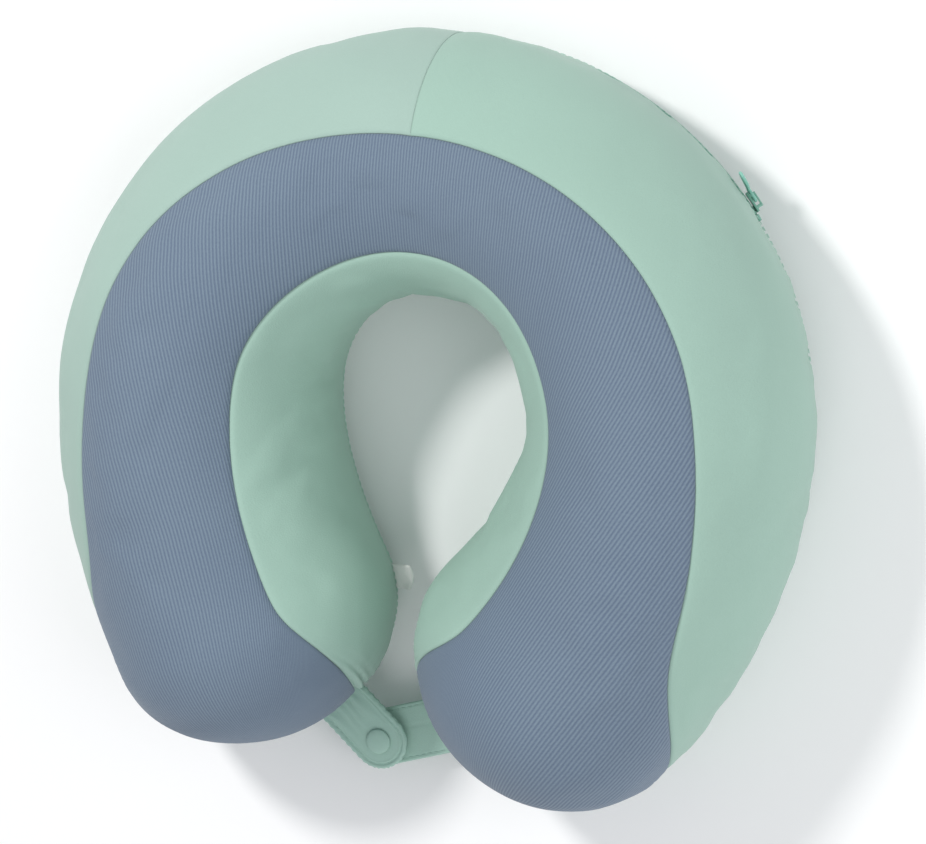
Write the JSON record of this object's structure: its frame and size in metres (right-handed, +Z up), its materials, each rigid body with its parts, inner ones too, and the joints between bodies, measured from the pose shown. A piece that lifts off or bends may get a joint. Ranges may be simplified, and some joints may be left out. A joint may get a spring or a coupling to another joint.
{
  "type": "u shaped neck pillow",
  "caption": "Horseshoe memory-foam travel neck pillow in a rib-knit and smooth stretch cover, zipped round the base, with snap tabs that close its tips",
  "frame": {"origin": "middle of the bounding box in plan, on the plane that the base panel rests on", "axes": "+Z up from the base panel to the rib-knit panel, neck opening towards -Y, round back towards +Y, +X is the arm with the zip's closed end"},
  "size_m": [0.3036, 0.306, 0.106],
  "materials": {
    "memory_foam": "open-cell polyurethane foam, matte",
    "rib_knit": "fine blue-grey rib knit, matte",
    "side_knit": "smooth mint stretch knit, soft matte",
    "base_knit": "smooth mint stretch knit, matte",
    "zip_tape": "woven teal tape",
    "zip_coil": "dyed nylon coil",
    "zip_lacquer": "teal lacquered die casting",
    "puller_rubber": "soft moulded pull, satin",
    "snap_steel": "plated snap fastener",
    "label_tape": "blank white satin tape"
  },
  "bodies": {
    "cover": {"foam_core": "memory_foam", "top_panel": "rib_knit", "bottom_panel": "base_knit", "outer_panel_left": "side_knit", "outer_panel_right": "side_knit", "inner_panel": "side_knit", "zip_tape_upper": "zip_tape", "zip_tape_lower": "zip_tape", "zip_teeth_upper": "zip_coil", "zip_teeth_lower": "zip_coil", "zip_stop_closed_end": "zip_coil", "zip_stop_open_end": "zip_coil", "closure_tab_front_root": "side_knit", "closure_tab_rear_root": "side_knit", "care_label": "label_tape"},
    "zip_slider": {"zip_slider": "zip_lacquer"},
    "zip_puller": {"zip_puller": "puller_rubber"},
    "front_tab": {"closure_tab_front": "side_knit", "snap_cap": "side_knit", "snap_socket": "snap_steel"},
    "rear_tab": {"closure_tab_rear": "side_knit", "snap_stud": "snap_steel", "snap_rivet": "snap_steel"}
  },
  "joints": [
    {"name": "zip_travel", "type": "hinge", "parent": "cover", "child": "zip_slider", "pos_m": [0.00031, 0.00178, 0.016], "axis": [0, 0, 1], "range_deg": [0, 90]},
    {"name": "puller_swing", "type": "hinge", "parent": "zip_slider", "child": "zip_puller", "pos_m": [0.11583, 0.09847, 0.01527], "axis": [-0.483, 0.1261, -0.8665], "range_deg": [0, 165]},
    {"name": "front_tab_lift", "type": "hinge", "parent": "cover", "child": "front_tab", "pos_m": [-0.03327, -0.12979, 0.0149], "axis": [-0.6303, -0.7764, 0], "range_deg": [0, 85]},
    {"name": "rear_tab_drop", "type": "hinge", "parent": "cover", "child": "rear_tab", "pos_m": [0.01843, -0.12628, 0.0103], "axis": [0.3612, -0.9325, 0], "range_deg": [0, 60]}
  ]
}
